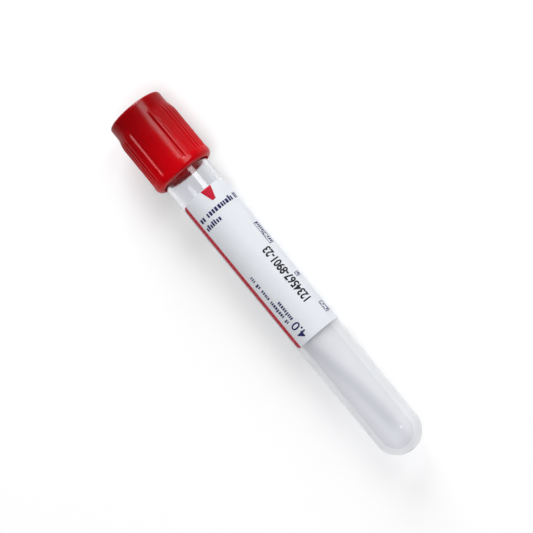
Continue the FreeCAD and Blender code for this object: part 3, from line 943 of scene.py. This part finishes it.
def make_backdrop(stage):
    """Floor: a flat disc, wide enough to reach the horizon."""
    away, angle = np.linspace(0, 6.0, 25)[:, None], np.linspace(0, 2 * np.pi, 97)[:-1]
    x, y = away * np.cos(angle), away * np.sin(angle)
    number = numbered(x.shape)
    number[0] = 0
    number = np.hstack([number, number[:, :1]])
    mesh = mesh_of("backdrop", quads(number)[:, ::-1], np.stack([x, y, np.zeros_like(x)], -1))
    mesh.materials.append(painted_board(stage.floor))
    placed("backdrop", mesh)


def painted_board(colour):
    """Matt white painted board. Part of its look is its own plain white, more so further out, so that it
    stays white where the lamps fade, and nearly all of it where it is seen through the clear wall."""
    material, tree, place = new_material("white_board_painted")
    away = add(tree, "VectorMath", {0: place}, operation="LENGTH").outputs["Value"]
    share = ranged(tree, away, (0.12, 0.6), (0.10, 1.0), "SMOOTHSTEP")
    path = add(tree, "LightPath").outputs
    seen = maths(tree, "MAXIMUM", path["Is Camera Ray"], maths(tree, "MULTIPLY", path["Is Glossy Ray"], 0.35))
    through = maths(tree, "MULTIPLY", path["Is Transmission Ray"], 0.85)
    part = maths(tree, "MAXIMUM", maths(tree, "MULTIPLY", seen, share), through)
    board = add(tree, "BsdfDiffuse", {"Color": colour})
    white = add(tree, "Emission", {"Color": linear("#FFFFFF"), "Strength": 1.0})
    both = add(tree, "MixShader", {"Fac": part, 1: board.outputs[0], 2: white.outputs[0]})
    add(tree, "OutputMaterial", {"Surface": both.outputs[0]})
    return material


def turned_to(back, across, place):
    """Matrix of a lamp or camera at a place. Its back and its width point in the two directions."""
    side = unit(across - back * np.dot(across, back))
    turned = Matrix((side, np.cross(back, side), back)).transposed().to_4x4()
    turned.translation = place
    return turned


def softbox(name, towards, distance, extent, radiance, across=(1.0, 0.0, 0.0)):
    """A rectangle of light at a distance in a direction, facing the origin, with its long side across. Its
    power is four times its brightness times its area."""
    lamp = bpy.data.lights.new(name, "AREA")
    lamp.shape, lamp.size, lamp.size_y = "RECTANGLE", *extent
    lamp.energy = radiance * 4 * extent[0] * extent[1]
    back = unit(np.array(towards))
    box = placed(name, lamp, turned_to(back, np.array(across), back * distance))
    box.visible_camera = False
    return box


def make_camera(stage):
    """The camera looks down at the tube from 0.46 m, with the picture turned."""
    back = unit(np.array([0.1234, 0.1540, 0.9803]))
    aim, distance, roll = np.array([-2.94, 0.91, 8.0]) * MM, 460.8 * MM, math.radians(50.74)
    level = unit(np.array([1.0, 0.0, 0.0]) - back * back[0])
    across = math.cos(roll) * level + math.sin(roll) * np.cross(back, level)
    lens = bpy.data.cameras.new("camera")
    lens.lens, lens.sensor_width = stage.lens / MM, 36.0
    lens.clip_start, lens.clip_end = 0.01, 20.0
    bpy.context.scene.camera = placed("camera", lens, turned_to(back, across, aim + back * distance))


GROUPS = {
    "labtube_tube": TubeSettings, "labtube_stopper": StopperSettings, "labtube_shield": ShieldSettings,
    "labtube_label": LabelSettings, "labtube_print": PrintSettings, "labtube_stage": StageSettings}
OPERATORS = (LABTUBE_OT_tube, LABTUBE_OT_stopper, LABTUBE_OT_shield, LABTUBE_OT_label, LABTUBE_OT_print,
             LABTUBE_OT_stage)


class LABTUBE_PT_panel(bpy.types.Panel):
    """Buttons for the pieces and the stage, with their settings"""

    bl_idname = "LABTUBE_PT_panel"
    bl_label = "Blood Collection Tube"
    bl_space_type = "VIEW_3D"
    bl_region_type = "UI"
    bl_category = "Lab Tube"

    def draw(self, context):
        for (name, group), operator in zip(GROUPS.items(), OPERATORS):
            box = self.layout.box()
            box.operator(operator.bl_idname)
            for setting in group.__annotations__:
                box.prop(getattr(context.scene, name), setting)


CLASSES = (*GROUPS.values(), *OPERATORS, LABTUBE_PT_panel)


def register():
    for kind in CLASSES:
        bpy.utils.register_class(kind)
    for name, group in GROUPS.items():
        setattr(bpy.types.Scene, name, PointerProperty(type=group))


def unregister():
    for name in GROUPS:
        delattr(bpy.types.Scene, name)
    for kind in reversed(CLASSES):
        bpy.utils.unregister_class(kind)


def main():
    register()
    bpy.ops.labtube.tube()
    bpy.ops.labtube.stopper()
    bpy.ops.labtube.shield()
    bpy.ops.labtube.label()
    bpy.ops.labtube.print()
    bpy.ops.labtube.stage()


if __name__ == "__main__":
    main()
